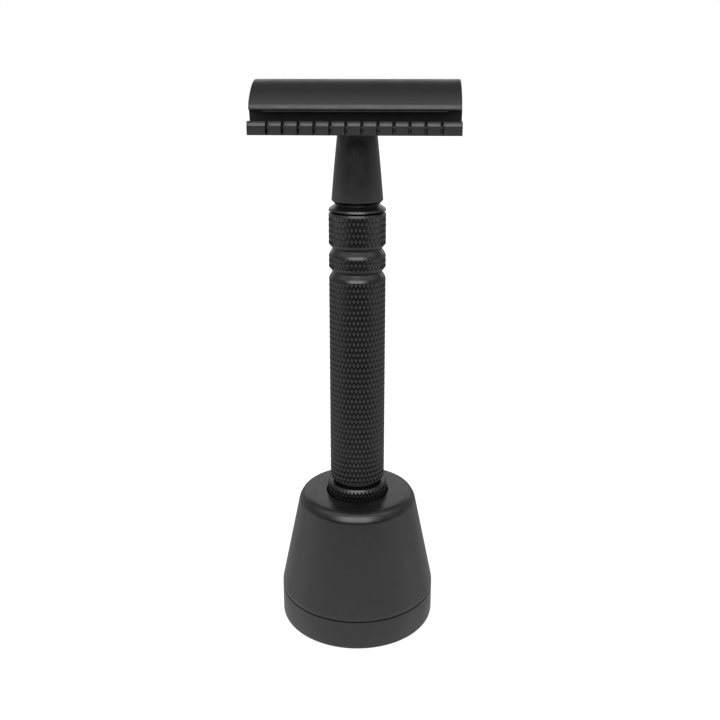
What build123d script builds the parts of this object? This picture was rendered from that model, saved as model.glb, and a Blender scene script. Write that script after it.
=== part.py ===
"""Double-edge safety razor standing in its weighted base.

Millimetres, +Z up. The origin is the centre of the foot pad's underside, the head lies
along X, and the razor's front faces -Y. The razor is a two-piece type: the guard is fixed
to the handle, and the knob at the foot of the handle turns a rod that draws the cap down.
"""

from build123d import *
from math import sin, sqrt
import os

# Running gaps
TURNING_GAP = 0.05  # between a shaft and the bush or nut that it turns in
SLIDING_GAP = 0.3  # round a pin or rod that only passes through
FACE_GAP = 0.03  # between faces of two bodies that touch
SOCKET_GAP = 0.15  # round the knob in the stand's socket

# Stand
STAND_RADIUS = 18.27
STAND_SLOPE = 0.204  # how fast the cone's radius shrinks with height
STAND_TOP = 32.1
STAND_SHOULDER = 8.52  # where the upright wall meets the cone
STAND_SEAM = 7.55  # joint between the base plate and the shell
STAND_EDGE = 2.2  # rounding of the top edge
SOCKET_EDGE = 0.2  # chamfer round the socket
BASE_BOTTOM = 0.3
BASE_EDGE = 0.7
SEAM_GROOVE = 0.1  # chamfer of each edge at the seam
PAD_RADIUS = 15.6
PAD_TOP = 1.6
SPIGOT_RADIUS = 15.7  # base plate's step inside the shell
BALLAST_RADIUS = 13.6
BALLAST_BOTTOM = 9.6
BALLAST_TOP = 17.2
SOCKET_FLOOR = 19.2
SOCKET_PAD_HEIGHT = 0.8
SCREW_CIRCLE = 9.5
SCREW_RADIUS = 1.5
SCREW_HEAD_RADIUS = 2.8
SCREW_HEAD_HEIGHT = 1.6
SCREW_TOP = 14.0

# Knob
KNOB_RADIUS = 7.05
KNOB_SHANK_RADIUS = 6.55
KNOB_BOTTOM = 20.1
KNOB_RING_BOTTOM = 28.4
KNOB_RING_TOP = 33.85
KNOB_BREAK = 34.95  # where the cone above the ring turns flatter
KNOB_BREAK_RADIUS = 6.35
KNOB_TOP = 35.1
KNOB_NECK_RADIUS = 5.45
KNOB_PIN_RADIUS = 0.8
KNOB_PIN_HEIGHT = 25.2

# Handle, from the foot up
WASHER_RADIUS = 5.2
WASHER_HEIGHT = 0.7
HANDLE_BOTTOM = KNOB_TOP + WASHER_HEIGHT + FACE_GAP
GRIP_RADIUS = 6.36
FOOT_EDGE = 0.2  # chamfer at the foot of the grip
LOWER_GROOVE = 85.75
LOWER_GROOVE_RADIUS = 5.48
MIDDLE_GROOVE = 90.95
MIDDLE_GROOVE_RADIUS = 5.47
UPPER_GROOVE = 100.8
UPPER_GROOVE_RADIUS = 4.85
GROOVE_HALF_WIDTH = 1.15
BAND_EDGE = 0.8  # rounding of the upper edges of the grip and the bands
NECK_BOTTOM = 101.7
NECK_BOTTOM_RADIUS = 5.7
NECK_MIDDLE = 108.6
NECK_MIDDLE_RADIUS = 5.1
NECK_TOP_RADIUS = 4.37
HANDLE_SPIGOT_RADIUS = 4.0
HANDLE_SPIGOT_TOP = 120.4
WIDE_BORE_RADIUS = 4.3
WIDE_BORE_TOP = 82.0
NARROW_BORE_RADIUS = 3.2
UPPER_BUSH_HEIGHT = 6.0
LOWER_BUSH_BOTTOM = HANDLE_BOTTOM + 0.3
LOWER_BUSH_TOP = 43.4

# Draw rod
ROD_RADIUS = 2.9
ROD_TOP = 115.2
COLLAR_BOTTOM = 44.4
COLLAR_TOP = 46.4
COLLAR_RADIUS = 4.0
STEM_RADIUS = 2.45
STEM_BOTTOM = 22.4
THREAD_RADIUS = 2.2  # mean radius of the stud's thread, M5 x 0.8
STUD_BOTTOM = 107.6
NUT_DEPTH = 14.0

# Head
GUARD_LENGTH = 43.5
GUARD_BOTTOM = 115.8
GUARD_REACH = 12.6  # front face of the guard bar, from the middle
GUARD_CREST = 119.2
CHANNEL_FLOOR = 118.0
PLATFORM_FOOT = 8.2  # reach of the undercut wall's foot
PLATFORM_REACH = 9.2
SLOT_COUNT = 12
SLOT_PITCH = 3.21
SLOT_WIDTH = 0.6
SLOT_INNER_END = 9.9
RING_NUT_RADIUS = 6.2
RING_NUT_BOTTOM = 119.0
ARCH_CENTRE = 99.5  # height of the axis that blade, platform and cap curve about
ARCH_RADIUS = 24.0  # middle of the bent blade
BLADE_THICKNESS = 0.1
BLADE_LENGTH = 42.8
BLADE_EDGE_LENGTH = 37.6
BLADE_WIDTH = 22.0  # measured flat
BLADE_TAB_REACH = 6.3
BLADE_SLOT_HALF_WIDTH = 1.3
CAP_LENGTH = 43.3
CAP_RADIUS = 13.4
CAP_TOP = 127.2
CAP_REACH = 10.5
CAP_SHOULDER = 122.4  # where the cap's curve ends
CAP_EDGE = 0.9  # height of the slope from the curve down to the upright lip
PIN_SPACING = 10.2
PIN_RADIUS = 1.9
PIN_BOTTOM = 118.8
PIN_HOLE_FLOOR = 118.2
INSERT_TOP = 124.9  # how far the stud and pins are let into the cap


def turned(*corners):
    """Solid turned about Z from corners given as (radius, height) or (radius, height, rounding)."""
    points = [(corner[0], corner[1]) for corner in corners]
    roundings = [corner[2] if len(corner) > 2 else 0 for corner in corners]
    outline = FilletPolyline(*points, radius=roundings, close=True)
    return revolve(Plane.XZ * make_face(outline), Axis.Z)


def rod(radius, bottom, top, x=0.0):
    """Upright cylinder between two heights."""
    blank = Cylinder(radius, top - bottom, align=(Align.CENTER, Align.CENTER, Align.MIN))
    return Pos(x, 0, bottom) * blank


def ring(inner, outer, bottom, top):
    """Upright tube between two heights."""
    return rod(outer, bottom, top) - rod(inner, bottom, top)


def along_head(outline, length):
    """Extrude a closed outline drawn in Y and Z along the head, evenly about its middle."""
    return extrude(Plane.YZ * make_face(outline), length / 2, both=True)


def arch_height(reach, radius):
    """Height of an arch of the given radius, at a distance from the middle of the head."""
    return ARCH_CENTRE + sqrt(radius**2 - reach**2)


def cone_radius(height):
    """Outer radius of the stand's cone at a height."""
    return STAND_RADIUS - STAND_SLOPE * (height - STAND_SHOULDER)


# Stand


def stand_shell():
    """Conical body with the razor's socket in its top and the ballast's pocket below."""
    body = turned(
        (0, STAND_SEAM),
        (STAND_RADIUS - SEAM_GROOVE, STAND_SEAM),
        (STAND_RADIUS, STAND_SEAM + SEAM_GROOVE),
        (STAND_RADIUS, STAND_SHOULDER, 4),
        (cone_radius(STAND_TOP), STAND_TOP, STAND_EDGE),
        (0, STAND_TOP),
    )
    socket_radius = KNOB_RADIUS + SOCKET_GAP
    socket = turned(
        (0, SOCKET_FLOOR),
        (socket_radius, SOCKET_FLOOR),
        (socket_radius, STAND_TOP - SOCKET_EDGE),
        (socket_radius + SOCKET_EDGE, STAND_TOP),
        (0, STAND_TOP),
    )
    pocket = rod(BALLAST_RADIUS, STAND_SEAM, BALLAST_TOP)
    step = rod(SPIGOT_RADIUS, STAND_SEAM, BALLAST_BOTTOM)
    return body - socket - pocket - step


def screw_places():
    """The three base screws' places round the stand."""
    return PolarLocations(SCREW_CIRCLE, 3, start_angle=90)


def stand_base():
    """Base plate with its locating step, the pad's recess and three screw holes."""
    plate = turned(
        (0, BASE_BOTTOM),
        (STAND_RADIUS, BASE_BOTTOM, BASE_EDGE),
        (STAND_RADIUS, STAND_SEAM - SEAM_GROOVE),
        (STAND_RADIUS - SEAM_GROOVE, STAND_SEAM),
        (SPIGOT_RADIUS, STAND_SEAM),
        (SPIGOT_RADIUS, BALLAST_BOTTOM),
        (0, BALLAST_BOTTOM),
    )
    plate -= rod(PAD_RADIUS, BASE_BOTTOM, PAD_TOP)
    for place in screw_places():
        plate -= place * rod(SCREW_RADIUS + 0.1, PAD_TOP, BALLAST_BOTTOM)
        plate -= place * rod(SCREW_HEAD_RADIUS + 0.2, PAD_TOP, PAD_TOP + SCREW_HEAD_HEIGHT)
    return plate


def ballast_weight():
    """Iron slug that keeps the stand upright, tapped for the base screws."""
    slug = rod(BALLAST_RADIUS, BALLAST_BOTTOM, BALLAST_TOP)
    for place in screw_places():
        slug -= place * rod(SCREW_RADIUS, BALLAST_BOTTOM, SCREW_TOP + 0.5)
    return slug


def base_screws():
    """Three cap screws, each with a slot in its head."""
    head_top = PAD_TOP + SCREW_HEAD_HEIGHT
    slot = Pos(0, 0, PAD_TOP + 0.4) * Box(2 * SCREW_HEAD_RADIUS, 0.8, 0.8)
    screw = rod(SCREW_HEAD_RADIUS, PAD_TOP, head_top) + rod(SCREW_RADIUS, head_top, SCREW_TOP) - slot
    return Compound(children=[place * screw for place in screw_places()])


def foot_pad():
    """Rubber disc that the stand rests on."""
    return turned((0, 0), (PAD_RADIUS, 0, 0.25), (PAD_RADIUS, PAD_TOP), (0, PAD_TOP))


def socket_pad():
    """Soft disc at the bottom of the socket, which the knob stands on."""
    radius = KNOB_RADIUS + SOCKET_GAP
    return rod(radius, SOCKET_FLOOR, SOCKET_FLOOR + SOCKET_PAD_HEIGHT)


# Knob and draw rod


def knob():
    """Turning knob: a plain shank in the socket and the ring that the fingers turn."""
    body = turned(
        (0, KNOB_BOTTOM),
        (KNOB_SHANK_RADIUS, KNOB_BOTTOM, 1.2),
        (KNOB_SHANK_RADIUS, KNOB_RING_BOTTOM - 0.5),
        (KNOB_RADIUS, KNOB_RING_BOTTOM),
        (KNOB_RADIUS, KNOB_RING_TOP),
        (KNOB_BREAK_RADIUS, KNOB_BREAK),
        (KNOB_NECK_RADIUS, KNOB_TOP),
        (0, KNOB_TOP),
    )
    return body - rod(STEM_RADIUS, STEM_BOTTOM, KNOB_TOP) - knob_pin()


def knob_pin():
    """Pin across the knob's shank that locks the knob to the rod's stem."""
    length = 2 * KNOB_SHANK_RADIUS - 0.4
    return Pos(0, 0, KNOB_PIN_HEIGHT) * Rot(0, 90, 0) * Cylinder(KNOB_PIN_RADIUS, length)


def thrust_washer():
    """Washer between the knob and the handle's foot, which takes the clamping load."""
    return ring(STEM_RADIUS + TURNING_GAP, WASHER_RADIUS, KNOB_TOP, KNOB_TOP + WASHER_HEIGHT)


def spring_washer():
    """Coned washer above the lower bush that takes up the knob's end play."""
    inner = STEM_RADIUS + 0.1
    outer = COLLAR_RADIUS
    thickness = 0.35
    bottom = LOWER_BUSH_TOP + FACE_GAP
    return turned(
        (inner, COLLAR_BOTTOM - thickness),
        (outer, bottom),
        (outer, bottom + thickness),
        (inner, COLLAR_BOTTOM),
    )


def draw_rod():
    """Rod from the knob to the head: stem, collar, shank and the nut bored in its top."""
    body = turned(
        (0, STEM_BOTTOM),
        (STEM_RADIUS, STEM_BOTTOM),
        (STEM_RADIUS, COLLAR_BOTTOM),
        (COLLAR_RADIUS, COLLAR_BOTTOM),
        (COLLAR_RADIUS, COLLAR_TOP),
        (ROD_RADIUS, COLLAR_TOP),
        (ROD_RADIUS, ROD_TOP, 0.3),
        (0, ROD_TOP),
    )
    nut_bore = rod(THREAD_RADIUS + TURNING_GAP, ROD_TOP - NUT_DEPTH, ROD_TOP)
    return body - nut_bore - knob_pin()


# Handle


def groove(centre, bottom_radius, lower_radius, upper_radius):
    """Corners of one V groove, from its lower edge to its upper edge."""
    return [
        (lower_radius, centre - GROOVE_HALF_WIDTH, BAND_EDGE),
        (bottom_radius, centre, 0.4),
        (upper_radius, centre + GROOVE_HALF_WIDTH, 0.35),
    ]


def handle_tube():
    """One turned piece: grip, two bands between three grooves, tapered neck and spigot."""
    outside = [
        (GRIP_RADIUS - FOOT_EDGE, HANDLE_BOTTOM),
        (GRIP_RADIUS, HANDLE_BOTTOM + FOOT_EDGE),
        *groove(LOWER_GROOVE, LOWER_GROOVE_RADIUS, GRIP_RADIUS, GRIP_RADIUS),
        *groove(MIDDLE_GROOVE, MIDDLE_GROOVE_RADIUS, GRIP_RADIUS, GRIP_RADIUS),
        (GRIP_RADIUS, UPPER_GROOVE - 1.45, BAND_EDGE),
        (UPPER_GROOVE_RADIUS, UPPER_GROOVE, 0.4),
        (NECK_BOTTOM_RADIUS, NECK_BOTTOM, 0.2),
        (NECK_MIDDLE_RADIUS, NECK_MIDDLE, 400),
        (NECK_TOP_RADIUS, GUARD_BOTTOM),
        (HANDLE_SPIGOT_RADIUS, GUARD_BOTTOM),
        (HANDLE_SPIGOT_RADIUS, HANDLE_SPIGOT_TOP),
    ]
    inside = [
        (NARROW_BORE_RADIUS, HANDLE_SPIGOT_TOP),
        (NARROW_BORE_RADIUS, WIDE_BORE_TOP),
        (WIDE_BORE_RADIUS, WIDE_BORE_TOP),
        (WIDE_BORE_RADIUS, LOWER_BUSH_BOTTOM),
        (STEM_RADIUS + 2 * TURNING_GAP, LOWER_BUSH_BOTTOM),
        (STEM_RADIUS + 2 * TURNING_GAP, HANDLE_BOTTOM),
    ]
    return turned(*outside, *inside)


def upper_bush():
    """Bush that guides the rod below the neck."""
    return ring(
        ROD_RADIUS + TURNING_GAP, WIDE_BORE_RADIUS, WIDE_BORE_TOP - UPPER_BUSH_HEIGHT, WIDE_BORE_TOP
    )


def lower_bush():
    """Bush at the foot of the handle that carries the rod's stem and holds the collar in."""
    return ring(STEM_RADIUS + TURNING_GAP, WIDE_BORE_RADIUS, LOWER_BUSH_BOTTOM, LOWER_BUSH_TOP)


# Head


def guard_plate():
    """Blade platform and a slotted guard bar along each side, cast in one piece."""
    platform_edge = arch_height(PLATFORM_REACH, platform_radius())
    half = [
        (0, GUARD_BOTTOM, 0),
        (5.2, GUARD_BOTTOM, 4),
        (GUARD_REACH, GUARD_BOTTOM + 0.55, 0.3),
        (GUARD_REACH, GUARD_CREST, 0.9),
        (GUARD_REACH - 1.2, GUARD_CREST, 0.2),
        (GUARD_REACH - 1.9, CHANNEL_FLOOR, 0.3),
        (PLATFORM_FOOT, CHANNEL_FLOOR, 0.3),
        (PLATFORM_REACH, platform_edge, 0),
        (PLATFORM_REACH, platform_edge + 1, 0),
        (0, ARCH_CENTRE + ARCH_RADIUS, 0),
    ]
    points = [(reach, height) for reach, height, rounding in half]
    roundings = [rounding for reach, height, rounding in half]
    side = along_head(FilletPolyline(*points, radius=roundings, close=True), GUARD_LENGTH)
    under_arch = Pos(0, 0, ARCH_CENTRE) * Rot(0, 90, 0) * Cylinder(platform_radius(), 2 * GUARD_LENGTH)
    plate = (side + mirror(side, about=Plane.XZ)) & under_arch
    for index in range(SLOT_COUNT):
        x = (index - (SLOT_COUNT - 1) / 2) * SLOT_PITCH
        slot_depth = GUARD_REACH + 1 - SLOT_INNER_END
        slot = Box(SLOT_WIDTH, slot_depth, 6)
        for front in (-1, 1):
            y = front * (SLOT_INNER_END + slot_depth / 2)
            plate -= Pos(x, y, GUARD_BOTTOM + 2) * slot
    plate -= rod(HANDLE_SPIGOT_RADIUS, GUARD_BOTTOM, ARCH_CENTRE + ARCH_RADIUS)
    plate -= rod(RING_NUT_RADIUS + 0.2, RING_NUT_BOTTOM, ARCH_CENTRE + ARCH_RADIUS)
    for x in (-PIN_SPACING, PIN_SPACING):
        plate -= rod(PIN_RADIUS + SLIDING_GAP, PIN_HOLE_FLOOR, ARCH_CENTRE + ARCH_RADIUS, x)
    return plate


def platform_radius():
    """Radius of the platform that the blade bends over."""
    return ARCH_RADIUS - BLADE_THICKNESS / 2 - FACE_GAP


def guard_ring_nut():
    """Ring nut on the handle's spigot that holds the guard plate down."""
    nut = ring(HANDLE_SPIGOT_RADIUS, RING_NUT_RADIUS, RING_NUT_BOTTOM, HANDLE_SPIGOT_TOP)
    notch = Box(1.2, 1.2, 0.8)
    for place in PolarLocations(RING_NUT_RADIUS, 4):
        nut -= Pos(0, 0, HANDLE_SPIGOT_TOP - 0.4) * place * notch
    return nut


def blade():
    """Double-edge blade, bent over the platform, with its slot and locating holes."""
    outer = ARCH_RADIUS + BLADE_THICKNESS / 2
    inner = ARCH_RADIUS - BLADE_THICKNESS / 2
    half_angle = BLADE_WIDTH / 2 / ARCH_RADIUS
    edge_reach = ARCH_RADIUS * sin(half_angle)
    sheet = Pos(0, 0, ARCH_CENTRE) * Rot(0, 90, 0) * (
        Cylinder(outer, BLADE_LENGTH) - Cylinder(inner, BLADE_LENGTH)
    )
    middle = ARCH_CENTRE + ARCH_RADIUS
    edges = Pos(0, 0, middle) * Box(BLADE_EDGE_LENGTH, 2 * edge_reach, 20)
    tabs = Pos(0, 0, middle) * Box(BLADE_LENGTH, 2 * BLADE_TAB_REACH, 20)
    sheet = sheet & (edges + tabs)
    sheet -= rod(THREAD_RADIUS + 1.2, GUARD_BOTTOM, CAP_TOP)
    sheet -= Pos(0, 0, middle) * Box(2 * PIN_SPACING + 10, 2 * BLADE_SLOT_HALF_WIDTH, 20)
    for x in (-PIN_SPACING, PIN_SPACING):
        sheet -= rod(PIN_RADIUS + SLIDING_GAP, GUARD_BOTTOM, CAP_TOP, x)
    return sheet


def cap_outline():
    """The cap's section: the curve over the top, an upright lip each side and the arched underside."""
    under_radius = ARCH_RADIUS + BLADE_THICKNESS / 2 + FACE_GAP
    curve_centre = CAP_TOP - CAP_RADIUS
    shoulder_reach = sqrt(CAP_RADIUS**2 - (CAP_SHOULDER - curve_centre) ** 2)
    lip = arch_height(CAP_REACH, under_radius)
    lip_top = CAP_SHOULDER - CAP_EDGE
    over = ThreePointArc((-shoulder_reach, CAP_SHOULDER), (0, CAP_TOP), (shoulder_reach, CAP_SHOULDER))
    front = Polyline((shoulder_reach, CAP_SHOULDER), (CAP_REACH, lip_top), (CAP_REACH, lip))
    under = ThreePointArc((CAP_REACH, lip), (0, ARCH_CENTRE + under_radius), (-CAP_REACH, lip))
    back = Polyline((-CAP_REACH, lip), (-CAP_REACH, lip_top), (-shoulder_reach, CAP_SHOULDER))
    return Wire([over, *front.edges(), under, *back.edges()])


def cap():
    """Curved cap over the blade, bored for the stud and the two locating pins."""
    body = along_head(cap_outline(), CAP_LENGTH)
    curved_ends = [edge for edge in body.edges().filter_by(GeomType.CIRCLE) if edge.radius < ARCH_RADIUS]
    body = chamfer(curved_ends, 0.4)
    body -= rod(THREAD_RADIUS, GUARD_BOTTOM, INSERT_TOP)
    for x in (-PIN_SPACING, PIN_SPACING):
        body -= rod(PIN_RADIUS, GUARD_BOTTOM, INSERT_TOP, x)
    return body


def cap_stud():
    """Threaded stud under the cap that screws into the rod's nut."""
    return turned(
        (0, STUD_BOTTOM),
        (THREAD_RADIUS, STUD_BOTTOM, 0.5),
        (THREAD_RADIUS, INSERT_TOP),
        (0, INSERT_TOP),
    )


def locating_pins():
    """Two pins under the cap that line the blade up with the guard."""
    pin = turned((0, PIN_BOTTOM), (PIN_RADIUS, PIN_BOTTOM, 0.5), (PIN_RADIUS, INSERT_TOP), (0, INSERT_TOP))
    return Compound(children=[Pos(x, 0, 0) * pin for x in (-PIN_SPACING, PIN_SPACING)])


NODES = [
    stand_shell,
    stand_base,
    ballast_weight,
    base_screws,
    foot_pad,
    socket_pad,
    handle_tube,
    upper_bush,
    lower_bush,
    guard_plate,
    guard_ring_nut,
    draw_rod,
    spring_washer,
    thrust_washer,
    knob,
    knob_pin,
    cap,
    cap_stud,
    locating_pins,
    blade,
]

os.makedirs("parts", exist_ok=True)
for make_node in NODES:
    export_step(make_node(), f"parts/{make_node.__name__}.step")
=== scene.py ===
"""Looks of the safety razor and its stand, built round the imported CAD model.

Sizes are in millimetres until a mesh is made. Main sizes come from the CAD nodes' boxes.
"""

import math

import bmesh
import bpy
import numpy as np
from mathutils import Euler, Matrix, Vector


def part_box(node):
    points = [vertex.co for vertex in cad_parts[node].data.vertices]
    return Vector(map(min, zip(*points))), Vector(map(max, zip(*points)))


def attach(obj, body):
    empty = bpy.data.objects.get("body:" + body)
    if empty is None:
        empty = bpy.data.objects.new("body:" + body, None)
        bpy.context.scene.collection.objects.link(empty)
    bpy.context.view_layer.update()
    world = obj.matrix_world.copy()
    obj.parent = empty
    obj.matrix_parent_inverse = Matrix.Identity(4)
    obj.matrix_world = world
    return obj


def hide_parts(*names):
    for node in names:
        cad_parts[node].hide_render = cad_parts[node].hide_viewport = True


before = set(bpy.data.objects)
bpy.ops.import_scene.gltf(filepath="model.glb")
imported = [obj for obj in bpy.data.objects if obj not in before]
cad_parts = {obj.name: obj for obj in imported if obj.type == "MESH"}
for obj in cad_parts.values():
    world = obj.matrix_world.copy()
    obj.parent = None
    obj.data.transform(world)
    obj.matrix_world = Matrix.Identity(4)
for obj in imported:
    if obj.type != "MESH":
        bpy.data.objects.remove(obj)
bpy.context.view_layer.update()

MM = 0.001


def box_mm(node):
    """Lowest and highest corner of a CAD node, in millimetres."""
    low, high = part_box(node)
    return low / MM, high / MM


# Sizes that the CAD boxes give

SHELL_LOW, SHELL_HIGH = box_mm("stand_shell")
BASE_LOW, BASE_HIGH = box_mm("stand_base")
WEIGHT_LOW, WEIGHT_HIGH = box_mm("ballast_weight")
SOCKET_PAD_LOW, SOCKET_PAD_HIGH = box_mm("socket_pad")
PAD_HIGH = box_mm("foot_pad")[1]
HANDLE_LOW, HANDLE_HIGH = box_mm("handle_tube")
LOWER_BUSH_LOW, LOWER_BUSH_HIGH = box_mm("lower_bush")
UPPER_BUSH_HIGH = box_mm("upper_bush")[1]
KNOB_LOW, KNOB_HIGH = box_mm("knob")
CROSS_PIN_LOW, CROSS_PIN_HIGH = box_mm("knob_pin")
ROD_LOW = box_mm("draw_rod")[0]
GUARD_LOW, GUARD_HIGH = box_mm("guard_plate")
NUT_LOW, NUT_HIGH = box_mm("guard_ring_nut")
CAP_LOW, CAP_HIGH = box_mm("cap")
STUD_HIGH = box_mm("cap_stud")[1]
BLADE_HIGH = box_mm("blade")[1]
PIN_LOW, PIN_HIGH = box_mm("locating_pins")
PIN_PLACE = PIN_HIGH.x - PIN_HIGH.y  # from the head's middle to each locating pin's axis

# Mesh steps, cutters and shading

STAND_SEGMENTS = 192  # round the stand
HOLE_SEGMENTS = 48
STAND_ROUNDING_STEPS = 6
ROUNDING_STEPS = 5
OVERSHOOT = 1  # of a cutter past what it cuts
SMOOTH_BELOW = math.radians(40)  # faces that meet at a smaller angle are shaded as one
KNURL_SMOOTH_BELOW = math.radians(30)
HEAD_SMOOTH_BELOW = math.radians(35)

# Share of a side that a rounding may take, by what is at the side's other end

BESIDE_SHARP_CORNER = 0.98
BESIDE_SMALL_ROUNDING = 0.85
BESIDE_ROUNDING = 0.49
SMALL_ROUNDING = 0.15

# Knurl: two crossing families of V grooves

KNURL_STEPS = 6  # mesh steps in one pitch
GRIP_PITCH = 1.0  # round the handle
GRIP_DIAMOND = 2.45  # height of one diamond
GRIP_DEPTH = 0.28
GRIP_GROOVE = 0.36  # half of a groove's width, as a share of the pitch
RING_PITCH = 0.97
RING_DIAMOND = 2.1
RING_DEPTH = 0.4
RING_GROOVE = 0.46

# Stand

STAND_SLOPE = 0.204
STAND_SHOULDER = 8.52
SHOULDER_ROUNDING = 4
STAND_CHAMFER = (0.7, 1.87)  # how far it goes in over the top and down the cone
STAND_EDGES = (2.0, 2.5)  # roundings at the chamfer's upper and lower end
SOCKET_CHAMFER = 0.2
SOCKET_ROUNDING = 0.08
BASE_EDGE = 0.7
PAD_RECESS_EDGE = 0.1
SEAM_DEPTH = 0.45
SEAM_HALF_HEIGHT = 0.16
SEAM_EDGE = 0.03
SPIGOT_RADIUS = 15.7

# Handle, its grooves as (height of the middle, radius there)

LOWER_GROOVE = (85.75, 5.48)
MIDDLE_GROOVE = (90.95, 5.47)
UPPER_GROOVE = (100.8, 4.85)
GROOVE_ROUNDING = 0.08
GROOVE_HALF_WIDTH = 1.15
GROOVE_LIP = 0.3  # rounding of a groove's upper edge
LAND_BOTTOM = 1.52  # the sloping land under a groove, from the groove's middle
LAND_TOP = 0.9
LAND_DEPTH = 0.26
LAND_ROUNDING = 0.2
NECK = ((101.7, 5.7), (108.6, 5.1))  # (height, radius) of its foot and of its slight bend
NECK_FOOT_ROUNDING = 0.25
NECK_BEND_ROUNDING = 400
NECK_TOP_RADIUS = 4.37
GRIP_FOOT_CHAMFER = 0.2
GRIP_FOOT_ROUNDING = 0.1
SPIGOT_OUTER = 4.0
NARROW_BORE = 3.2
STEM_HOLE = 2.55

# A thin line turned just under the top band's upper edge: its height, and the corners of its V
# and of the slopes beside it as (out from the grip, up from the line, rounding)

FINE_LINE = 99.27
LINE_CORNERS = ((0, -0.72, 0.2), (-0.2, -0.3), (-1.1, -0.06), (0, 0.17), (-0.2, 0.65, 0.2))

# Plain strips between the knurl and what borders it

STRIP_UNDER_LAND = 0.03
STRIP_OVER_GROOVE = 0.1
STRIP_UNDER_LINE = 0.75  # from the line down

# Knob, from its shank up

SHANK_RADIUS = 6.55
SHANK_FOOT_ROUNDING = 1.2
RING_BOTTOM = 28.4
RING_TOP = 33.85
RING_FOOT = 0.5  # height over which the ring widens from the shank
SHANK_STOP = 0.8  # from the ring's bottom down to the shank's last plain mesh ring
KNOB_BREAK = (6.4, 34.8)  # (radius, height) where the cone above the ring turns flatter
KNOB_ROUNDING = (6.05, 35.0)  # (radius, height) at the top of that turn
KNOB_NECK_RADIUS = 5.45
CONE_RINGS = [RING_TOP + 0.1 * step for step in range(-3, 9)]  # finer mesh where the cone starts
STEM_RADIUS = 2.45
PIN_HOLE_REACH = 10  # from the knob's axis, past its surface

# Guard

GUARD_KEEL = (5.2, 4)  # (reach, rounding) where the underside starts to rise
GUARD_RISE = 0.55  # of the underside, at the bars' outer edge
GUARD_CREST = 119.2
CHANNEL_FLOOR = 118.0
GUARD_EDGE = 0.3
BAR_NOSE = (  # (out from the reach, up from the crest, rounding)
    (0, -1.0, 0.3),
    (-0.2, -0.4, 0.3),
    (-0.55, -0.05, 0.25),
    (-1.2, 0, 0.2),
)
BAR_WIDTH = 1.9
PLATFORM_REACH = 9.2
PLATFORM_FOOT = 8.2  # reach of the undercut wall's foot
PLATFORM_EDGE = 0.15
SLOT_COUNT = 12
SLOT_PITCH = 3.21
SLOT_WIDTH = 0.6
SLOT_INNER_END = 9.9
NUT_GAP = 0.2
PIN_GAP = 0.3
PIN_FOOT_GAP = 0.6

# Cap, and the arches of the blade's bed

ARCH_CENTRE = 99.5
ARCH_RADIUS = 24.0
PLATFORM_RADIUS = ARCH_RADIUS - 0.08
CAP_UNDER_RADIUS = ARCH_RADIUS + 0.08
PLATFORM_STEPS = 14
CAP_UNDER_STEPS = 20
CAP_RADIUS = 13.4
CAP_STEPS = 40
CAP_TURN_REACH = 9.6  # where the cap's curve turns down into its lip
CAP_TURN_CORNER = (10.213, 122.52, 3.0)
LIP_EDGE = 0.12

# Broken edges as (width, mesh steps, least angle between the two faces in degrees)

GUARD_BEVEL = (0.25, 3, 35)
SLOT_BEVEL = (0.07, 2, 50)
CAP_BEVEL = (0.4, 4, 60)

# The slit between the cap and the guard's bars, each side as (start, end) of a soft edge

SLIT_REACH = (10.0, 10.2)
SLIT_BOTTOM = (117.9, 118.1)
SLIT_TOP = (121.8, 122.0)
SLIT_ROUGHNESS = 0.95

# Band along the blade's edges that is painted near black as shade, in from its edges as (start,
# end) of a soft limit

EDGE_SHADE_BAND = (1.0, 0.8)

# Camera, from the stand's axis on the floor

CAMERA_DISTANCE = 194.1
CAMERA_HEIGHT = 129.9
CAMERA_AZIMUTH = math.radians(3.2)
CAMERA_PITCH = math.radians(15.985)
CAMERA_LENS = 44.37
CAMERA_SHIFT = (0.0037, -0.0559)

# Studio walls as (place from front to back, strength), the places from 0 to 1

LOW_WALL = ((0.0, 0.05), (0.12, 0.06), (0.35, 0.35), (0.65, 0.45), (0.85, 0.4), (1.0, 0.3))
HIGH_WALL = (
    (0.0, 0.4),
    (0.18, 0.85),
    (0.28, 1.05),
    (0.38, 1.6),
    (0.5, 1.0),
    (0.63, 0.42),
    (0.85, 0.22),
    (1.0, 0.2),
)
FLOOR_GLOW = ((0.0, 1.08), (0.5, 1.0), (0.7, 0.6), (0.85, 0.42), (1.0, 0.2))
WALL_BLEND = (0.36, 0.58)  # heights on the unit sphere where the low wall turns into the high one
HORIZON_BLEND = (-0.045, 0.025)  # and the floor's glow into the walls
STUDIO_STRENGTH = 2.0  # the most that a place on a wall can have

# Soft lights as (elevation, azimuth, distance, size, power), azimuth 0 being in front

SOFTBOXES = {
    "front_softbox": (34, 0, 560, (560, 240), 1.4),
    "front_fill": (34, 0, 570, (980, 230), 1.0),
    "back_card": (22, 180, 326, (600, 160), 0.18),
}
LIT_HEIGHT = 75  # of the place on the razor's axis that they are turned to

# Floor

FLOOR_HALF_WIDTH = 3000
FLOOR_GREY = (0.9, 0.9, 0.9)
FLOOR_ROUGHNESS = 0.9
FLOOR_STRENGTH = 1.2
FLOOR_GLOW_SHARE = 0.85


# Outlines


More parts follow.
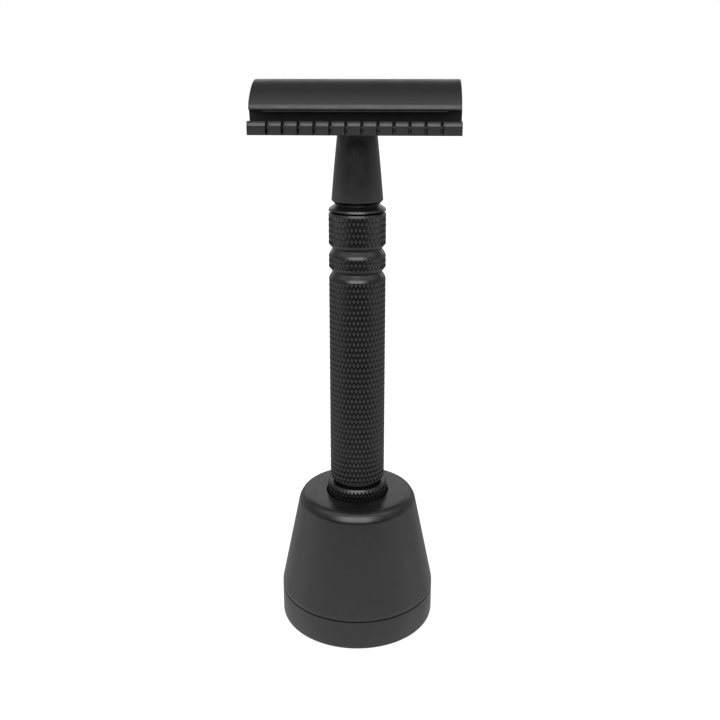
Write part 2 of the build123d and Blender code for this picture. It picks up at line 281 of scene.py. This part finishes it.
def arc_points(before, corner, after, radius, room, steps):
    """Points of the arc that rounds a corner, no further along its sides than the room."""
    corner, before, after = Vector(corner), Vector(before), Vector(after)
    back = (before - corner).normalized()
    on = (after - corner).normalized()
    half_angle = back.angle(on) / 2
    reach = radius / math.tan(half_angle)
    if reach > room:
        radius *= room / reach
        reach = room
    centre = corner + (back + on).normalized() * (radius / math.sin(half_angle))
    start = corner + back * reach - centre
    end = corner + on * reach - centre
    sweep = start.angle(end)
    points = []
    for step in range(steps + 1):
        share = step / steps
        weight_start = math.sin((1 - share) * sweep) / math.sin(sweep)
        weight_end = math.sin(share * sweep) / math.sin(sweep)
        points.append(centre + start * weight_start + end * weight_end)
    return points


def shared_length(corner):
    """Share of the side up to this corner that the rounding at its other end may take."""
    if len(corner) < 3:
        return BESIDE_SHARP_CORNER
    return BESIDE_SMALL_ROUNDING if corner[2] <= SMALL_ROUNDING else BESIDE_ROUNDING


def rounded(corners, steps):
    """Points of a closed outline from corners (across, up) or (across, up, rounding)."""
    points = []
    for index, corner in enumerate(corners):
        here = corner[:2]
        if len(corner) < 3:
            points.append(Vector(here))
            continue
        beside = corners[index - 1], corners[(index + 1) % len(corners)]
        room = min(math.dist(here, other[:2]) * shared_length(other) for other in beside)
        points.extend(arc_points(beside[0][:2], here, beside[1][:2], corner[2], room, steps))
    return points


def moved(corners, across, up):
    """Corners with their places moved and their roundings kept."""
    return [(across + corner[0], up + corner[1], *corner[2:]) for corner in corners]


def mirrored(corners):
    """Corners on the other side of the middle, in the order that goes on round."""
    return [(-y, z, rounding) for y, z, rounding in reversed(corners)]


def arch_height(reach, radius):
    """Height of an arch about the head's bending axis, at a distance from the middle."""
    return ARCH_CENTRE + math.sqrt(radius**2 - reach**2)


def arch_corners(reach, radius, steps):
    """Corners along an arch from one side to the other, without its ends."""
    reaches = [reach * (1 - 2 * step / steps) for step in range(1, steps)]
    return [(y, arch_height(y, radius)) for y in reaches]


def outline_radius(points):
    """Function of height that gives the radius of an outline that rises all the way."""
    heights = [height for radius, height in points]
    radii = [radius for radius, height in points]
    return lambda height: float(np.interp(height, heights, radii))


# Meshes


def piece_from(name, vertices, faces, smooth_below=SMOOTH_BELOW):
    """Object from vertices in millimetres, with its faces looking outward."""
    mesh = bpy.data.meshes.new(name)
    mesh.from_pydata([tuple(v * MM for v in vertex) for vertex in vertices], [], faces)
    piece = bpy.data.objects.new(name, mesh)
    bpy.context.scene.collection.objects.link(piece)
    shape = bmesh.new()
    shape.from_mesh(mesh)
    bmesh.ops.recalc_face_normals(shape, faces=shape.faces)
    shape.to_mesh(mesh)
    shape.free()
    shade(piece, smooth_below)
    return piece


def shade(piece, smooth_below):
    """Smooth shading, with edges sharper than the angle kept sharp."""
    piece.data.polygons.foreach_set("use_smooth", [True] * len(piece.data.polygons))
    piece.data.set_sharp_from_angle(angle=smooth_below)


def lathe(name, outline, segments):
    """Solid of revolution about Z from a closed outline of (radius, height)."""
    return ring_mesh(name, plain_rings(outline, segments), segments)


def plain_rings(points, segments):
    """Rings without knurl at the points of an outline."""
    return [([radius] * segments, height) for radius, height in points]


def ring_mesh(name, rings, segments, smooth_below=SMOOTH_BELOW):
    """Closed mesh from rings of radii, joined in turn and the last to the first."""
    vertices, indices = [], []
    for radii, height in rings:
        if max(radii) < 1e-6:
            indices.append([len(vertices)] * segments)
            vertices.append((0, 0, height))
            continue
        indices.append(list(range(len(vertices), len(vertices) + segments)))
        for step, radius in enumerate(radii):
            angle = 2 * math.pi * step / segments
            vertices.append((radius * math.cos(angle), radius * math.sin(angle), height))
    faces = []
    for row, ring in enumerate(indices):
        following = indices[(row + 1) % len(indices)]
        for step in range(segments):
            beside = (step + 1) % segments
            corners = [ring[step], ring[beside], following[beside], following[step]]
            for face in knurl_split(corners, rings[row][0], step):
                unique = list(dict.fromkeys(face))
                if len(unique) > 2:
                    faces.append(unique)
    return piece_from(name, vertices, faces, smooth_below)


class KnurledRing(list):
    """Radii round one height of a knurled length, with the knurl's phase there."""

    def __init__(self, radii, phase):
        super().__init__(radii)
        self.phase = phase

    def falls_left(self, step):
        """Whether the nearer groove runs down to the left in the face after this step."""
        across = (step + 0.5) / KNURL_STEPS
        up = self.phase + 0.5 / KNURL_STEPS
        return groove_distance(across + up) < groove_distance(across - up)


def knurl_split(corners, radii, step):
    """One four-sided face, or two triangles split along the nearer family of knurl grooves."""
    if not isinstance(radii, KnurledRing):
        return [corners]
    a, b, c, d = corners
    if radii.falls_left(step):
        return [[a, b, d], [b, c, d]]
    return [[a, b, c], [a, c, d]]


def groove_distance(turns):
    """Distance to the nearest groove of one family, in pitches."""
    return abs(turns - round(turns))


def knurl_depth(across, up, groove):
    """How deep the knurl is cut at a place, from 0 on a diamond's top to 1 in a groove."""
    nearest = min(groove_distance(across + up), groove_distance(across - up))
    return max(0.0, 1 - nearest / groove)


def knurled_rings(bottom, top, limit, knurl, extra_heights=()):
    """Rings of a knurled length; limit gives the turned radius at a height."""
    count, diamond, depth, groove = knurl
    rows = round((top - bottom) / (diamond / KNURL_STEPS))
    heights = [bottom + (top - bottom) * row / rows for row in range(rows + 1)]
    heights = sorted(set(heights) | set(extra_heights))
    crest = max(limit(height) for height in heights)
    rings = []
    for height in heights:
        phase = (height - bottom) / (top - bottom) * rows / KNURL_STEPS
        radii = [
            min(limit(height), crest - depth * knurl_depth(step / KNURL_STEPS, phase, groove))
            for step in range(count * KNURL_STEPS)
        ]
        rings.append((KnurledRing(radii, phase), height))
    return rings


def extruded(name, outline, half_length):
    """Prism along X from a closed outline of (y, z)."""
    count = len(outline)
    vertices = [(x, y, z) for x in (-half_length, half_length) for y, z in outline]
    faces = [list(range(count)), list(range(2 * count - 1, count - 1, -1))]
    for index in range(count):
        beside = (index + 1) % count
        faces.append([index, beside, count + beside, count + index])
    return piece_from(name, vertices, faces)


def upright(radius, bottom, top, x=0.0):
    """Upright cylinder, used to cut holes."""
    outline = [(0, bottom), (radius, bottom), (radius, top), (0, top)]
    cutter = lathe("cutter", outline, HOLE_SEGMENTS)
    cutter.data.transform(Matrix.Translation((x * MM, 0, 0)))
    return cutter


def block(low, high):
    """Box between two corners, used to cut slots."""
    sides = list(zip(low, high))
    vertices = [(x, y, z) for x in sides[0] for y in sides[1] for z in sides[2]]
    faces = [(0, 1, 3, 2), (4, 6, 7, 5), (0, 4, 5, 1), (2, 3, 7, 6), (0, 2, 6, 4), (1, 5, 7, 3)]
    return piece_from("cutter", vertices, faces)


def cut(piece, cutters):
    """Take the cutters away from a piece."""
    for cutter in cutters:
        tool = piece.modifiers.new("cut", "BOOLEAN")
        tool.operation = "DIFFERENCE"
        tool.solver = "EXACT"
        tool.object = cutter
        apply_modifiers(piece)
        bpy.data.objects.remove(cutter)


def join(pieces):
    """One object holding the meshes of several, which are removed."""
    shape = bmesh.new()
    for piece in pieces:
        shape.from_mesh(piece.data)
    first = pieces[0]
    shape.to_mesh(first.data)
    shape.free()
    for piece in pieces[1:]:
        bpy.data.objects.remove(piece)
    return first


def bevel(piece, width, steps, least_angle):
    """Break the edges of a piece where two faces meet at the least angle or more."""
    tool = piece.modifiers.new("bevel", "BEVEL")
    tool.width = width * MM
    tool.segments = steps
    tool.limit_method = "ANGLE"
    tool.angle_limit = math.radians(least_angle)
    tool.use_clamp_overlap = True
    apply_modifiers(piece)


def apply_modifiers(piece):
    """Put the result of a piece's modifiers in its mesh."""
    graph = bpy.context.evaluated_depsgraph_get()
    made = bpy.data.meshes.new_from_object(piece.evaluated_get(graph))
    piece.modifiers.clear()
    piece.data = made


# Materials


class NodeGraph:
    """A node tree, with what adds nodes to it. Scales are in features per metre."""

    def __init__(self, tree):
        self.tree = tree

    def feed(self, socket, value):
        """Link a socket to another node's output, or set it to a number, vector or colour."""
        if isinstance(value, bpy.types.NodeSocket):
            self.tree.links.new(value, socket)
        elif socket.type == "RGBA":
            socket.default_value = (*value, 1)
        else:
            socket.default_value = value

    def add(self, kind, inputs):
        """New node with its inputs fed."""
        node = self.tree.nodes.new(kind)
        for name, value in inputs.items():
            self.feed(node.inputs[name], value)
        return node

    def axes(self, place):
        """X, Y and Z of coordinates."""
        return self.add("ShaderNodeSeparateXYZ", {"Vector": place}).outputs

    def noise(self, place, scale, detail, roughness=0.5, stretch=None):
        """Noise, in coordinates scaled along each axis if it is stretched."""
        if stretch:
            mapping = self.add("ShaderNodeMapping", {"Vector": place, "Scale": stretch})
            place = mapping.outputs["Vector"]
        texture = self.add(
            "ShaderNodeTexNoise",
            {"Vector": place, "Scale": scale, "Detail": detail, "Roughness": roughness},
        )
        return texture.outputs["Fac"]

    def ranged(self, source, low, high, from_low=0.3, from_high=0.7):
        """A varying value brought into a range."""
        source_range = {"Value": source, "From Min": from_low, "From Max": from_high}
        target_range = {"To Min": low, "To Max": high}
        spread = self.add("ShaderNodeMapRange", source_range | target_range)
        return spread.outputs["Result"]

    def mixed(self, share, low, high):
        """Colour between two, by a varying share."""
        mix = self.tree.nodes.new("ShaderNodeMix")
        mix.data_type = "RGBA"
        self.feed(mix.inputs["Factor"], share)
        low_colour, high_colour = (socket for socket in mix.inputs if socket.type == "RGBA")
        self.feed(low_colour, low)
        self.feed(high_colour, high)
        return next(socket for socket in mix.outputs if socket.type == "RGBA")

    def calculated(self, operation, *values):
        """Result of a math node."""
        step = self.tree.nodes.new("ShaderNodeMath")
        step.operation = operation
        for socket, value in zip(step.inputs, values):
            self.feed(socket, value)
        return step.outputs[0]

    def bumped(self, source, strength, depth):
        """Normal over bumps of a depth in millimetres."""
        inputs = {"Height": source, "Strength": strength, "Distance": depth * MM}
        return self.add("ShaderNodeBump", inputs).outputs["Normal"]

    def toned(self, source, stops):
        """Grey tone that follows a value through (place, strength) stops."""
        ramp = self.add("ShaderNodeValToRGB", {"Fac": source})
        elements = ramp.color_ramp.elements
        while len(elements) < len(stops):
            elements.new(0.5)
        for element, (place, strength) in zip(elements, stops):
            element.position = place
            share = strength / STUDIO_STRENGTH
            element.color = (share, share, share, 1)
        return ramp.outputs["Color"]


class Surface(NodeGraph):
    """New material with a Principled shader, and object coordinates as its place."""

    def __init__(self, name):
        self.material = bpy.data.materials.new(name)
        self.material.use_nodes = True
        super().__init__(self.material.node_tree)
        self.shader = self.tree.nodes["Principled BSDF"]
        self.place = self.add("ShaderNodeTexCoord", {}).outputs["Object"]

    def finished(self, inputs):
        """The material, with its shader's inputs fed."""
        for name, value in inputs.items():
            self.feed(self.shader.inputs[name], value)
        return self.material


def scaled(tone, factor):
    """A colour, or a pair of numbers, multiplied by a factor."""
    return tuple(part * factor for part in tone)


def coating(name, tone, roughness, grain, grain_depth, stretch=(1, 1, 1), slit=False):
    """Dark coat on metal: mottled tone, uneven gloss and grain; dull in the head's slit."""
    surface = Surface(name)
    cloud = surface.noise(surface.place, 350, 4)
    fine = surface.noise(surface.place, grain, 2, stretch=stretch)
    mottle = surface.mixed(surface.ranged(cloud, 0, 1), scaled(tone, 0.75), scaled(tone, 1.25))
    specks = surface.ranged(fine, 0, 0.5, 0.55, 0.8)
    gloss = surface.ranged(cloud, *roughness)
    if slit:
        gloss = surface.mixed(slit_share(surface), gloss, (SLIT_ROUGHNESS,) * 3)
    return surface.finished(
        {
            "Base Color": surface.mixed(specks, mottle, scaled(tone, 2.5)),
            "Roughness": gloss,
            "Normal": surface.bumped(fine, 0.6, grain_depth),
        }
    )


def slit_share(surface):
    """1 inside the slit between the cap and the guard's bars, 0 outside it."""
    axes = surface.axes(surface.place)
    reach = surface.calculated("ABSOLUTE", axes["Y"])
    inside = surface.ranged(reach, 1, 0, *scaled(SLIT_REACH, MM))
    above = surface.ranged(axes["Z"], 0, 1, *scaled(SLIT_BOTTOM, MM))
    below = surface.ranged(axes["Z"], 1, 0, *scaled(SLIT_TOP, MM))
    return surface.calculated("MULTIPLY", inside, surface.calculated("MULTIPLY", above, below))


def turned_metal(name, tone, roughness):
    """Bare metal with fine turning lines round the axis."""
    surface = Surface(name)
    lines = surface.noise(surface.place, 9000, 2, stretch=(0.02, 0.02, 1))
    cloud = surface.noise(surface.place, 150, 3)
    return surface.finished(
        {
            "Base Color": surface.mixed(surface.ranged(cloud, 0, 1), scaled(tone, 0.82), tone),
            "Roughness": surface.ranged(lines, *roughness),
            "Metallic": 1.0,
            "Normal": surface.bumped(lines, 0.3, 0.01),
        }
    )


def blade_steel():
    """Bright rolled steel, with a band along both edges painted near black as shade."""
    surface = Surface("blade_steel")
    reach = surface.calculated("ABSOLUTE", surface.axes(surface.place)["Y"])
    edge = BLADE_HIGH.y * MM
    start, end = scaled(EDGE_SHADE_BAND, MM)
    # the near-black band along both edges is painted shade, not the steel's own colour
    edge_shade = surface.ranged(reach, 0, 1, edge - start, edge - end)
    grain = surface.noise(surface.place, 9000, 2, stretch=(0.03, 1, 1))
    sheet = surface.mixed(surface.ranged(grain, 0, 1), (0.4, 0.4, 0.4), (0.5, 0.49, 0.48))
    return surface.finished(
        {
            "Base Color": surface.mixed(edge_shade, sheet, (0.07, 0.07, 0.07)),
            "Roughness": surface.ranged(grain, 0.22, 0.36),
            "Metallic": 1.0,
            "Normal": surface.bumped(grain, 0.2, 0.004),
        }
    )


def soft_black(name, tone, roughness, grain):
    """Rubber or plastic with a moulded grain."""
    surface = Surface(name)
    cloud = surface.noise(surface.place, 200, 3)
    fine = surface.noise(surface.place, grain, 2)
    return surface.finished(
        {
            "Base Color": surface.mixed(surface.ranged(cloud, 0, 1), tone, scaled(tone, 1.5)),
            "Roughness": surface.ranged(fine, *roughness),
            "Normal": surface.bumped(fine, 0.4, 0.03),
        }
    )


def cast_iron():
    """Rough casting."""
    surface = Surface("iron")
    lumps = surface.noise(surface.place, 1200, 5, 0.6)
    share = surface.ranged(lumps, 0, 1)
    return surface.finished(
        {
            "Base Color": surface.mixed(share, (0.07, 0.07, 0.07), (0.14, 0.13, 0.12)),
            "Roughness": surface.ranged(lumps, 0.5, 0.75),
            "Metallic": 0.8,
            "Normal": surface.bumped(lumps, 0.7, 0.1),
        }
    )


def dress(piece, body, material, replaced):
    """Let a new piece ride on its body in place of a CAD node, with its material and slot."""
    piece.data.materials.clear()
    piece.data.materials.append(material)
    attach(piece, body)
    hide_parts(replaced)


def dress_node(node, material):
    """Give a CAD node that is shown its material and slot."""
    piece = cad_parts[node]
    piece.data.materials.clear()
    piece.data.materials.append(material)


# Stand


def make_stand_shell(material):
    """Cone with a chamfered and rounded rim, its socket and the ballast's pocket below."""
    seam, top = SHELL_LOW.z, SHELL_HIGH.z
    radius = SHELL_HIGH.x
    rim = radius - STAND_SLOPE * (top - STAND_SHOULDER)
    socket = SOCKET_PAD_HIGH.x
    across, down = STAND_CHAMFER
    corners = [
        (SPIGOT_RADIUS, seam),
        (radius - SEAM_DEPTH, seam),
        (radius - SEAM_DEPTH, seam + SEAM_HALF_HEIGHT),
        (radius, seam + SEAM_HALF_HEIGHT, SEAM_EDGE),
        (radius, STAND_SHOULDER, SHOULDER_ROUNDING),
        (rim + STAND_SLOPE * down, top - down, STAND_EDGES[1]),
        (rim - across, top, STAND_EDGES[0]),
        (socket + SOCKET_CHAMFER, top, SOCKET_ROUNDING),
        (socket, top - SOCKET_CHAMFER, SOCKET_ROUNDING),
        (socket, SOCKET_PAD_LOW.z),
        (0, SOCKET_PAD_LOW.z),
        (0, WEIGHT_HIGH.z),
        (WEIGHT_HIGH.x, WEIGHT_HIGH.z),
        (WEIGHT_HIGH.x, WEIGHT_LOW.z),
        (SPIGOT_RADIUS, WEIGHT_LOW.z),
    ]
    shell = lathe("stand_shell_finished", rounded(corners, STAND_ROUNDING_STEPS), STAND_SEGMENTS)
    dress(shell, "stand", material, "stand_shell")


def make_stand_base(material):
    """Base plate with its locating step and the recess for the foot pad."""
    radius, seam = BASE_HIGH.x, SHELL_LOW.z
    corners = [
        (0, PAD_HIGH.z),
        (PAD_HIGH.x, PAD_HIGH.z),
        (PAD_HIGH.x, BASE_LOW.z, PAD_RECESS_EDGE),
        (radius, BASE_LOW.z, BASE_EDGE),
        (radius, seam - SEAM_HALF_HEIGHT, SEAM_EDGE),
        (radius - SEAM_DEPTH, seam - SEAM_HALF_HEIGHT),
        (radius - SEAM_DEPTH, seam),
        (SPIGOT_RADIUS, seam),
        (SPIGOT_RADIUS, BASE_HIGH.z),
        (0, BASE_HIGH.z),
    ]
    base = lathe("stand_base_finished", rounded(corners, STAND_ROUNDING_STEPS), STAND_SEGMENTS)
    dress(base, "stand", material, "stand_base")


# Handle and knob


def handle_outside():
    """Outside of the handle below the spigot, as points that rise all the way."""
    grip = HANDLE_HIGH.x

    def groove(centre, radius):
        return [
            (grip, centre - LAND_BOTTOM, LAND_ROUNDING),
            (grip - LAND_DEPTH, centre - LAND_TOP, LAND_ROUNDING),
            (radius, centre, GROOVE_ROUNDING),
            (grip, centre + GROOVE_HALF_WIDTH, GROOVE_LIP),
        ]

    neck_foot, neck_bend = NECK
    corners = [
        (grip - GRIP_FOOT_CHAMFER, HANDLE_LOW.z),
        (grip, HANDLE_LOW.z + GRIP_FOOT_CHAMFER, GRIP_FOOT_ROUNDING),
        *groove(*LOWER_GROOVE),
        *groove(*MIDDLE_GROOVE),
        *moved(LINE_CORNERS, grip, FINE_LINE),
        (UPPER_GROOVE[1], UPPER_GROOVE[0], GROOVE_ROUNDING),
        (neck_foot[1], neck_foot[0], NECK_FOOT_ROUNDING),
        (neck_bend[1], neck_bend[0], NECK_BEND_ROUNDING),
        (NECK_TOP_RADIUS, GUARD_LOW.z),
    ]
    return rounded(corners, ROUNDING_STEPS)


def make_handle(material):
    """Grip and two bands with their knurl, the grooves, the neck and the bore."""
    outside = handle_outside()
    limit = outline_radius(outside)
    count = round(2 * math.pi * HANDLE_HIGH.x / GRIP_PITCH)
    segments = count * KNURL_STEPS
    knurl = (count, GRIP_DIAMOND, GRIP_DEPTH, GRIP_GROOVE)
    lower, middle = LOWER_GROOVE[0], MIDDLE_GROOVE[0]
    spans = [
        (HANDLE_LOW.z, lower - LAND_BOTTOM - STRIP_UNDER_LAND),
        (
            lower + GROOVE_HALF_WIDTH + STRIP_OVER_GROOVE,
            middle - LAND_BOTTOM - STRIP_UNDER_LAND,
        ),
        (middle + GROOVE_HALF_WIDTH + STRIP_OVER_GROOVE, FINE_LINE - STRIP_UNDER_LINE),
    ]
    rings = []
    reached = -1.0
    for bottom, top in spans:
        rings += plain_rings([p for p in outside if reached < p[1] < bottom], segments)
        rings += knurled_rings(bottom, top, limit, knurl)
        reached = top
    rings += plain_rings([p for p in outside if p[1] > reached], segments)
    bush = LOWER_BUSH_HIGH.x
    inside = [
        (SPIGOT_OUTER, GUARD_LOW.z),
        (SPIGOT_OUTER, HANDLE_HIGH.z),
        (NARROW_BORE, HANDLE_HIGH.z),
        (NARROW_BORE, UPPER_BUSH_HIGH.z),
        (bush, UPPER_BUSH_HIGH.z),
        (bush, LOWER_BUSH_LOW.z),
        (STEM_HOLE, LOWER_BUSH_LOW.z),
        (STEM_HOLE, HANDLE_LOW.z),
    ]
    rings += plain_rings(inside, segments)
    handle = ring_mesh("handle_knurled", rings, segments, KNURL_SMOOTH_BELOW)
    dress(handle, "handle", material, "handle_tube")


def make_knob(material):
    """Shank, knurled ring and the smooth cone above it, with the holes for stem and pin."""
    radius = KNOB_HIGH.x
    count = round(2 * math.pi * radius / RING_PITCH)
    segments = count * KNURL_STEPS
    knurl = (count, RING_DIAMOND, RING_DEPTH, RING_GROOVE)
    ring_foot = RING_BOTTOM - RING_FOOT
    ring_outline = [
        (SHANK_RADIUS, ring_foot),
        (radius, RING_BOTTOM),
        (radius, RING_TOP),
        KNOB_BREAK,
        KNOB_ROUNDING,
        (KNOB_NECK_RADIUS, KNOB_HIGH.z),
    ]
    limit = outline_radius(ring_outline)
    shank = [
        (0, KNOB_LOW.z),
        (SHANK_RADIUS, KNOB_LOW.z, SHANK_FOOT_ROUNDING),
        (SHANK_RADIUS, RING_BOTTOM - SHANK_STOP),
    ]
    rings = plain_rings(rounded(shank, STAND_ROUNDING_STEPS), segments)
    rings += knurled_rings(ring_foot, KNOB_HIGH.z, limit, knurl, CONE_RINGS)
    stem = [(STEM_RADIUS, KNOB_HIGH.z), (STEM_RADIUS, ROD_LOW.z), (0, ROD_LOW.z)]
    rings += plain_rings(stem, segments)
    knob = ring_mesh("knob_knurled", rings, segments, KNURL_SMOOTH_BELOW)
    cut(knob, [pin_hole()])
    shade(knob, KNURL_SMOOTH_BELOW)
    dress(knob, "knob", material, "knob")


def pin_hole():
    """Cylinder across the knob where its pin goes."""
    low, high = CROSS_PIN_LOW.z, CROSS_PIN_HIGH.z
    hole = upright((high - low) / 2, -PIN_HOLE_REACH, PIN_HOLE_REACH)
    hole.data.transform(Matrix.Rotation(math.pi / 2, 4, "Y"))
    hole.data.transform(Matrix.Translation((0, 0, (high + low) / 2 * MM)))
    return hole


# Head


def guard_half():
    """Corners of the guard plate's section from the middle of its underside to the platform."""
    reach = GUARD_HIGH.y
    return [
        (GUARD_KEEL[0], GUARD_LOW.z, GUARD_KEEL[1]),
        (reach, GUARD_LOW.z + GUARD_RISE, GUARD_EDGE),
        *moved(BAR_NOSE, reach, GUARD_CREST),
        (reach - BAR_WIDTH, CHANNEL_FLOOR, GUARD_EDGE),
        (PLATFORM_FOOT, CHANNEL_FLOOR, GUARD_EDGE),
        (PLATFORM_REACH, arch_height(PLATFORM_REACH, PLATFORM_RADIUS), PLATFORM_EDGE),
    ]


def slot_cutter():
    """Boxes that cut the slots in both bars, as one object."""
    slots = []
    outer = GUARD_HIGH.y + OVERSHOOT
    low, high = GUARD_LOW.z - OVERSHOOT, GUARD_CREST + OVERSHOOT
    for index in range(SLOT_COUNT):
        x = (index - (SLOT_COUNT - 1) / 2) * SLOT_PITCH
        left, right = x - SLOT_WIDTH / 2, x + SLOT_WIDTH / 2
        slots.append(block((left, SLOT_INNER_END, low), (right, outer, high)))
        slots.append(block((left, -outer, low), (right, -SLOT_INNER_END, high)))
    return join(slots)


def pin_holes(radius, bottom, top):
    """Cylinders where the two locating pins go."""
    return [upright(radius, bottom, top, x) for x in (-PIN_PLACE, PIN_PLACE)]


def make_guard(material):
    """Guard plate with its platform, channels, slotted bars and holes, edges broken."""
    half = guard_half()
    platform = arch_corners(PLATFORM_REACH, PLATFORM_RADIUS, PLATFORM_STEPS)
    outline = rounded([*half, *platform, *mirrored(half)], ROUNDING_STEPS)
    guard = extruded("guard_finished", outline, GUARD_HIGH.x)
    bevel(guard, *GUARD_BEVEL)
    top = GUARD_HIGH.z + OVERSHOOT
    nut_recess = upright(NUT_HIGH.x + NUT_GAP, NUT_LOW.z, top)
    spigot_hole = upright(SPIGOT_OUTER, GUARD_LOW.z - OVERSHOOT, top)
    pins = pin_holes(PIN_HIGH.y + PIN_GAP, PIN_LOW.z - PIN_FOOT_GAP, top)
    cut(guard, [slot_cutter(), nut_recess, spigot_hole, *pins])
    bevel(guard, *SLOT_BEVEL)
    shade(guard, HEAD_SMOOTH_BELOW)
    dress(guard, "handle", material, "guard_plate")


def make_cap(material):
    """Curved cap with upright lips, rounded ends and holes for the stud and pins."""
    reach, lip = CAP_HIGH.y, CAP_LOW.z
    centre = CAP_HIGH.z - CAP_RADIUS
    turn_angle = math.asin(CAP_TURN_REACH / CAP_RADIUS)
    over = []
    for step in range(CAP_STEPS + 1):
        angle = turn_angle * (1 - 2 * step / CAP_STEPS)
        over.append((-CAP_RADIUS * math.sin(angle), centre + CAP_RADIUS * math.cos(angle)))
    side = [CAP_TURN_CORNER, (reach, lip, LIP_EDGE)]
    under = arch_corners(reach, CAP_UNDER_RADIUS, CAP_UNDER_STEPS)
    outline = rounded([*over, *side, *under, *mirrored(side)], ROUNDING_STEPS)
    cap = extruded("cap_finished", outline, CAP_HIGH.x)
    bevel(cap, *CAP_BEVEL)
    bottom = lip - OVERSHOOT
    stud_hole = upright(STUD_HIGH.x, bottom, STUD_HIGH.z)
    cut(cap, [stud_hole, *pin_holes(PIN_HIGH.y, bottom, PIN_HIGH.z)])
    shade(cap, HEAD_SMOOTH_BELOW)
    dress(cap, "cap", material, "cap")


# Stage


def make_floor():
    """Pale floor that glows softly, so it stays even; the object doesn't mirror it."""
    half = FLOOR_HALF_WIDTH
    vertices = [(-half, -half, 0), (half, -half, 0), (half, half, 0), (-half, half, 0)]
    floor = piece_from("floor", vertices, [(0, 1, 2, 3)])
    surface = Surface("pale_floor")
    glow = surface.add("ShaderNodeEmission", {"Strength": FLOOR_STRENGTH})
    surface.finished({"Base Color": FLOOR_GREY, "Roughness": FLOOR_ROUGHNESS})
    mix_shaders(surface, FLOOR_GLOW_SHARE, surface.shader, glow, "Material Output")
    floor.data.materials.append(surface.material)
    floor.visible_glossy = False
    floor.visible_diffuse = False


def mix_shaders(graph, share, first, second, output):
    """Feed an output node with two shaders mixed."""
    inputs = {"Fac": share, 1: first.outputs[0], 2: second.outputs[0]}
    mix = graph.add("ShaderNodeMixShader", inputs)
    graph.feed(graph.tree.nodes[output].inputs["Surface"], mix.outputs["Shader"])


def add_softbox(name, elevation, azimuth, distance, size, power):
    """Rectangular soft light turned to the razor, from angles in degrees."""
    lamp = bpy.data.lights.new(name, "AREA")
    lamp.shape = "RECTANGLE"
    lamp.size, lamp.size_y = size[0] * MM, size[1] * MM
    lamp.energy = power
    light = bpy.data.objects.new(name, lamp)
    light.visible_camera = False
    bpy.context.scene.collection.objects.link(light)
    elevation, azimuth = math.radians(elevation), math.radians(azimuth)
    level = math.cos(elevation)
    away = Vector((level * math.sin(azimuth), -level * math.cos(azimuth), math.sin(elevation)))
    light.location = (away * distance + Vector((0, 0, LIT_HEIGHT))) * MM
    light.rotation_euler = (-away).to_track_quat("-Z", "Y").to_euler()


def make_world():
    """Walls and floor that light the object, and a white backdrop that the camera sees."""
    world = bpy.data.worlds.new("studio")
    world.use_nodes = True
    graph = NodeGraph(world.node_tree)
    place = graph.add("ShaderNodeTexCoord", {}).outputs["Generated"]
    axes = graph.axes(place)
    depth = graph.ranged(axes["Y"], 0, 1, -1, 1)
    low = graph.toned(depth, LOW_WALL)
    high = graph.toned(depth, HIGH_WALL)
    wall = graph.mixed(graph.ranged(axes["Z"], 0, 1, *WALL_BLEND), low, high)
    glow = graph.toned(depth, FLOOR_GLOW)
    room = graph.mixed(graph.ranged(axes["Z"], 0, 1, *HORIZON_BLEND), glow, wall)
    studio = graph.tree.nodes["Background"]
    graph.feed(studio.inputs["Strength"], STUDIO_STRENGTH)
    graph.feed(studio.inputs["Color"], room)
    white = graph.add("ShaderNodeBackground", {"Color": (1, 1, 1)})
    to_camera = graph.add("ShaderNodeLightPath", {}).outputs["Is Camera Ray"]
    mix_shaders(graph, to_camera, studio, white, "World Output")
    bpy.context.scene.world = world


def make_camera():
    """Camera in front, a little above the head, looking slightly down."""
    lens = bpy.data.cameras.new("camera")
    lens.lens = CAMERA_LENS
    lens.sensor_width = 36.0
    lens.shift_x, lens.shift_y = CAMERA_SHIFT
    lens.clip_start = 0.01
    camera = bpy.data.objects.new("camera", lens)
    bpy.context.scene.collection.objects.link(camera)
    away = Vector((math.sin(CAMERA_AZIMUTH), -math.cos(CAMERA_AZIMUTH), 0))
    camera.location = (away * CAMERA_DISTANCE + Vector((0, 0, CAMERA_HEIGHT))) * MM
    camera.rotation_euler = Euler((math.pi / 2 - CAMERA_PITCH, 0, CAMERA_AZIMUTH))
    bpy.context.scene.camera = camera


make_camera()
make_world()
for name, facts in SOFTBOXES.items():
    add_softbox(name, *facts)
bpy.context.scene.view_settings.view_transform = "Standard"
make_floor()

head_tone, head_gloss = (0.003, 0.003, 0.003), (0.3, 0.38)
stand_coat = coating("stand_coating", (0.007, 0.007, 0.0067), (0.22, 0.28), 4500, 0.03)
black_coat = coating("black_metal", (0.004, 0.004, 0.004), (0.21, 0.28), 7000, 0.02)
cap_coat = coating("head_metal", head_tone, head_gloss, 7000, 0.012, slit=True)
guard_coat = coating("guard_metal", head_tone, head_gloss, 2600, 0.03, (1, 0.08, 0.08), slit=True)
steel = turned_metal("steel", (0.5, 0.5, 0.49), (0.25, 0.4))
brass = turned_metal("brass", (0.75, 0.57, 0.28), (0.22, 0.38))
rubber = soft_black("rubber", (0.018, 0.018, 0.018), (0.6, 0.8), 3000)
acetal = soft_black("washer_plastic", (0.02, 0.02, 0.02), (0.35, 0.5), 4000)

make_stand_shell(stand_coat)
make_stand_base(stand_coat)
make_handle(black_coat)
make_knob(black_coat)
make_guard(guard_coat)
make_cap(cap_coat)

for node in ("base_screws", "guard_ring_nut", "draw_rod", "spring_washer", "knob_pin", "cap_stud"):
    dress_node(node, steel)
for node in ("upper_bush", "lower_bush"):
    dress_node(node, brass)
for node in ("foot_pad", "socket_pad"):
    dress_node(node, rubber)
dress_node("thrust_washer", acetal)
dress_node("locating_pins", cap_coat)
dress_node("ballast_weight", cast_iron())
dress_node("blade", blade_steel())
